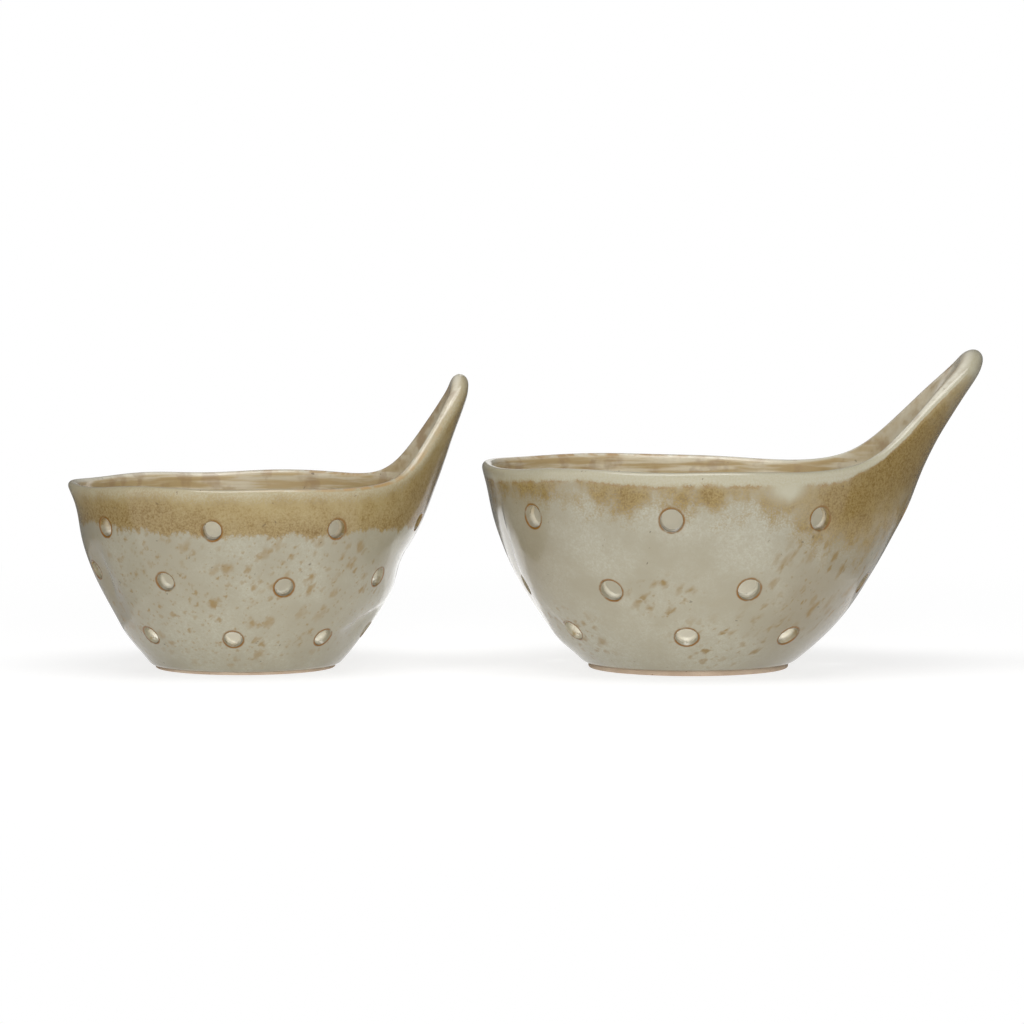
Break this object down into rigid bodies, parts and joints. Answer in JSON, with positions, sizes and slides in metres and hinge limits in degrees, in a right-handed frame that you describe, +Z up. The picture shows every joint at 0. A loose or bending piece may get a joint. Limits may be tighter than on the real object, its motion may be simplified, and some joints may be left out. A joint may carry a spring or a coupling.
{
  "type": "berry bowl",
  "caption": "Set of hand-formed stoneware berry bowls, small and large, with pierced draining walls, drained floors and an upright tongue handle drawn up from the rim.",
  "frame": {"origin": "centre of the set's footprint, on the surface that both bowls stand on", "axes": "+X along the row of bowls, from the small bowl to the large one and towards the handles; +Y to the back; +Z up"},
  "size_m": [0.365, 0.152, 0.127],
  "materials": {
    "cream_glaze": "glossy reactive glaze, greyish cream with tan flecks",
    "honey_glaze": "glossy reactive glaze, honey tan",
    "bare_clay": "bare fired stoneware at the foot, glazed inside"
  },
  "bodies": {
    "large_bowl": {"large_wall": "cream_glaze", "large_floor": "bare_clay", "large_handle": "cream_glaze"},
    "small_bowl": {"small_wall": "cream_glaze", "small_floor": "bare_clay", "small_handle": "honey_glaze"}
  },
  "joints": [
    {"name": "small_bowl_lift", "type": "slide", "parent": "large_bowl", "child": "small_bowl", "axis": [0, 0, 1], "range_m": [0, 0.14]}
  ]
}
